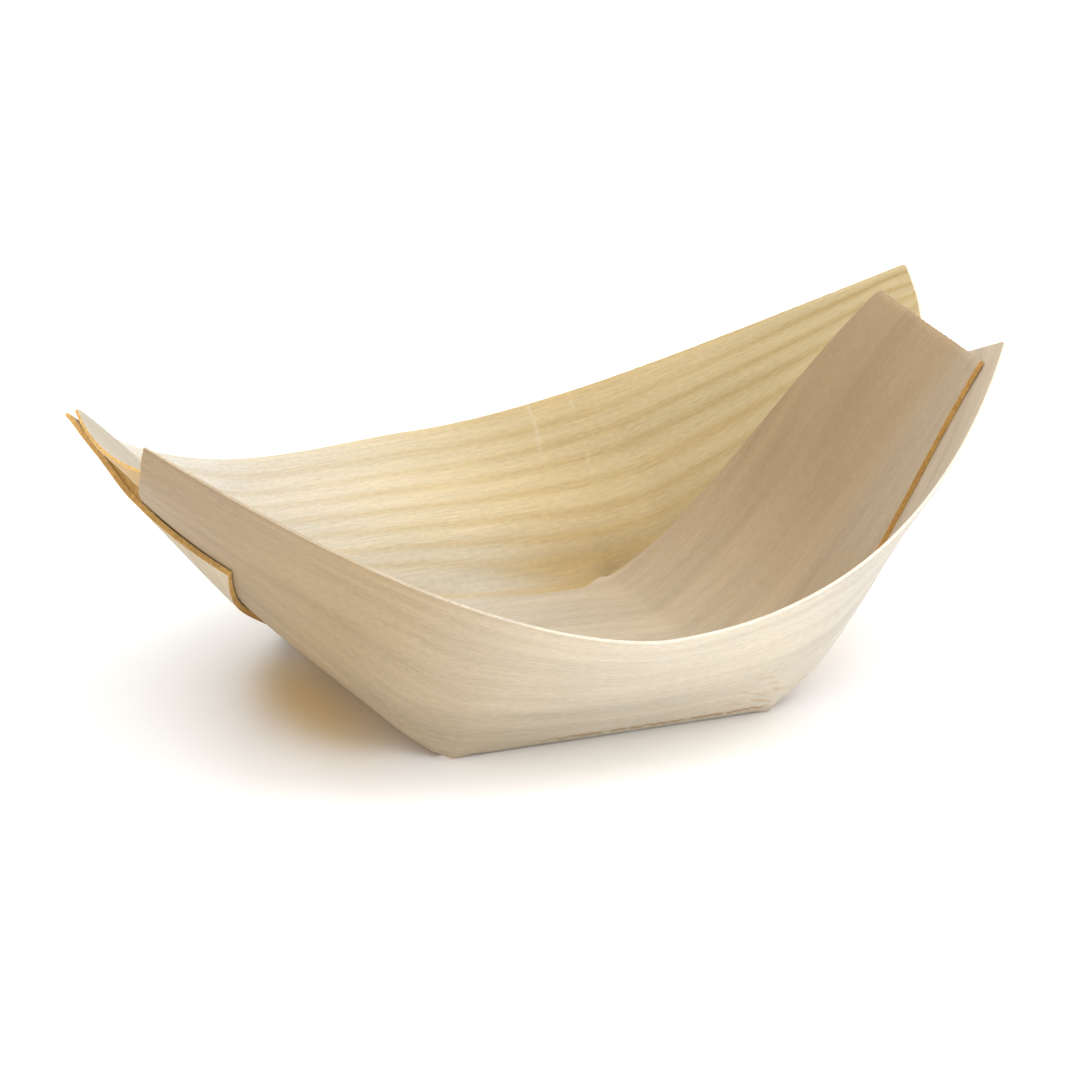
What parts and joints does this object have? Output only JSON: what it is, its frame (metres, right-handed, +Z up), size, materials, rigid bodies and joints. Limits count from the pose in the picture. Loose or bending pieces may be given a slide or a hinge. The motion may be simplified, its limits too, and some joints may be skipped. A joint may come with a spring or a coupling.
{
  "type": "wooden snack boat",
  "caption": "Small open serving boat folded from thin pine veneer, with a flat floor, leaning sides and ends turned up and lapped.",
  "frame": {"origin": "middle of the underside of the floor", "axes": "+X along the boat to its right end, +Y to the back side, +Z up"},
  "size_m": [0.1149, 0.0865, 0.0412],
  "materials": {
    "pine_veneer": "raw sliced pine, fine lengthwise grain",
    "glue": "thin dried film"
  },
  "bodies": {
    "root": {"floor_panel": "pine_veneer", "front_wall": "pine_veneer", "back_wall": "pine_veneer", "left_end_tab": "pine_veneer", "right_end_tab": "pine_veneer", "front_left_flap": "pine_veneer", "front_right_flap": "pine_veneer", "back_left_flap": "pine_veneer", "back_right_flap": "pine_veneer", "front_left_flap_glue": "glue", "front_right_flap_glue": "glue", "back_left_flap_glue": "glue", "back_right_flap_glue": "glue"}
  },
  "joints": []
}
